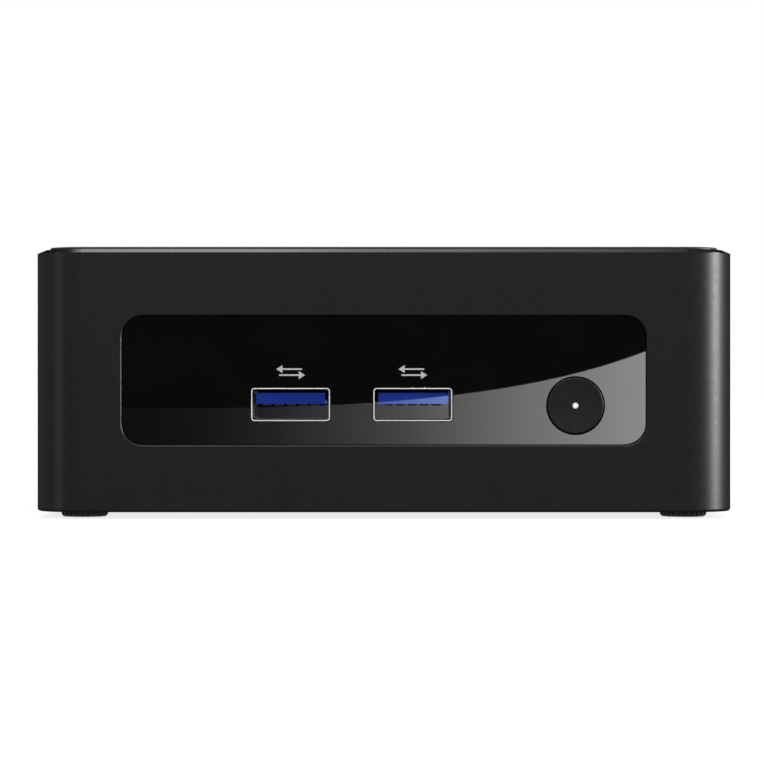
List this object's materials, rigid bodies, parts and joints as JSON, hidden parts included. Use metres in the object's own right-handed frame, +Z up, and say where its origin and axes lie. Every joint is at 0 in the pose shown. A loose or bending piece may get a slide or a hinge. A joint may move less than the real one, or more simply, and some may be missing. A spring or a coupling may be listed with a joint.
{
  "type": "mini pc",
  "caption": "Low square desktop computer: charcoal shell, black lid, glossy front panel with USB sockets and a round power button, vents, rear sockets and rubber feet.",
  "frame": {"origin": "centre of the footprint, on the plane that the feet stand on", "axes": "+Z up, +X to the right seen from the front, the front panel faces -Y"},
  "size_m": [0.117, 0.112, 0.0454],
  "materials": {
    "shell": "satin charcoal paint with a fine powder texture",
    "lid": "fine-textured black plastic",
    "base": "matt black powder coat",
    "gloss_panel": "polished black",
    "rear_plastic": "black moulded plastic",
    "rubber": "matt black",
    "dark_screw": "black oxide",
    "steel": "bright steel",
    "socket_steel": "nickel plate",
    "blue_plastic": "moulded blue",
    "black_plastic": "moulded black",
    "gold": "gold plate",
    "button": "satin black",
    "light": "clear light guide",
    "led": "clear lens",
    "circuit_board": "green solder mask",
    "chip": "black epoxy",
    "copper": "bare copper",
    "aluminium": "bare aluminium",
    "fan_plastic": "glass-filled nylon",
    "magnet": "bonded ferrite",
    "film": "amber film",
    "lead": "black sheath"
  },
  "bodies": {
    "case": {"body_shell": "shell", "top_cover": "lid", "bottom_cover": "base", "front_panel": "gloss_panel", "rear_panel": "rear_plastic", "rear_grille": "rear_plastic", "foot_front_left": "rubber", "foot_front_right": "rubber", "foot_rear_left": "rubber", "foot_rear_right": "rubber", "cover_screws": "dark_screw", "front_usb_left": "socket_steel", "front_usb_right": "socket_steel", "front_usb_inserts": "blue_plastic", "front_usb_contacts": "gold", "power_switch": "black_plastic", "power_led": "led", "mainboard": "circuit_board", "board_screws": "steel", "processor": "chip", "fan_header": "black_plastic", "cold_plate": "copper", "cooler_screws": "steel", "heat_pipes": "copper", "fin_stack": "aluminium", "blower_housing": "fan_plastic", "blower_cover": "aluminium", "fan_bearing": "gold", "fan_stator": "copper", "blower_posts": "steel", "blower_screws": "steel", "fan_lead": "lead", "memory_socket": "black_plastic", "memory_module_upper": "circuit_board", "memory_module_lower": "circuit_board", "card_sockets": "black_plastic", "ssd_card": "circuit_board", "wifi_card": "circuit_board", "card_posts": "steel", "card_screws": "steel", "cell_holder": "black_plastic", "coin_cell": "steel", "antennas": "film", "antenna_leads": "lead", "rear_usb_stack": "socket_steel", "rear_usb_inserts": "blue_plastic", "lan_socket": "black_plastic", "lan_contacts": "gold", "hdmi_left": "socket_steel", "hdmi_right": "socket_steel", "hdmi_inserts": "black_plastic", "audio_jack": "black_plastic", "dc_jack": "black_plastic", "dc_pin": "steel"},
    "power_button": {"power_button": "button", "button_light_guide": "light"},
    "switch_plunger": {"switch_plunger": "black_plastic"},
    "blower_rotor": {"blower_rotor": "fan_plastic", "rotor_magnet": "magnet", "rotor_shaft": "steel"}
  },
  "joints": [
    {"name": "button_press", "type": "slide", "parent": "case", "child": "power_button", "axis": [0, 1, 0], "range_m": [0, 0.0005], "stiffness_N_per_m": 600, "springref_m": -0.0002},
    {"name": "plunger_press", "type": "slide", "parent": "case", "child": "switch_plunger", "axis": [0, 1, 0], "range_m": [0, 0.0005]},
    {"name": "rotor_spin", "type": "hinge", "parent": "case", "child": "blower_rotor", "pos_m": [0, -0.008, 0.0375], "axis": [0, 0, 1], "continuous": true}
  ],
  "couplings": [
    {"joint": "plunger_press", "follows": "button_press", "ratio": 1}
  ]
}
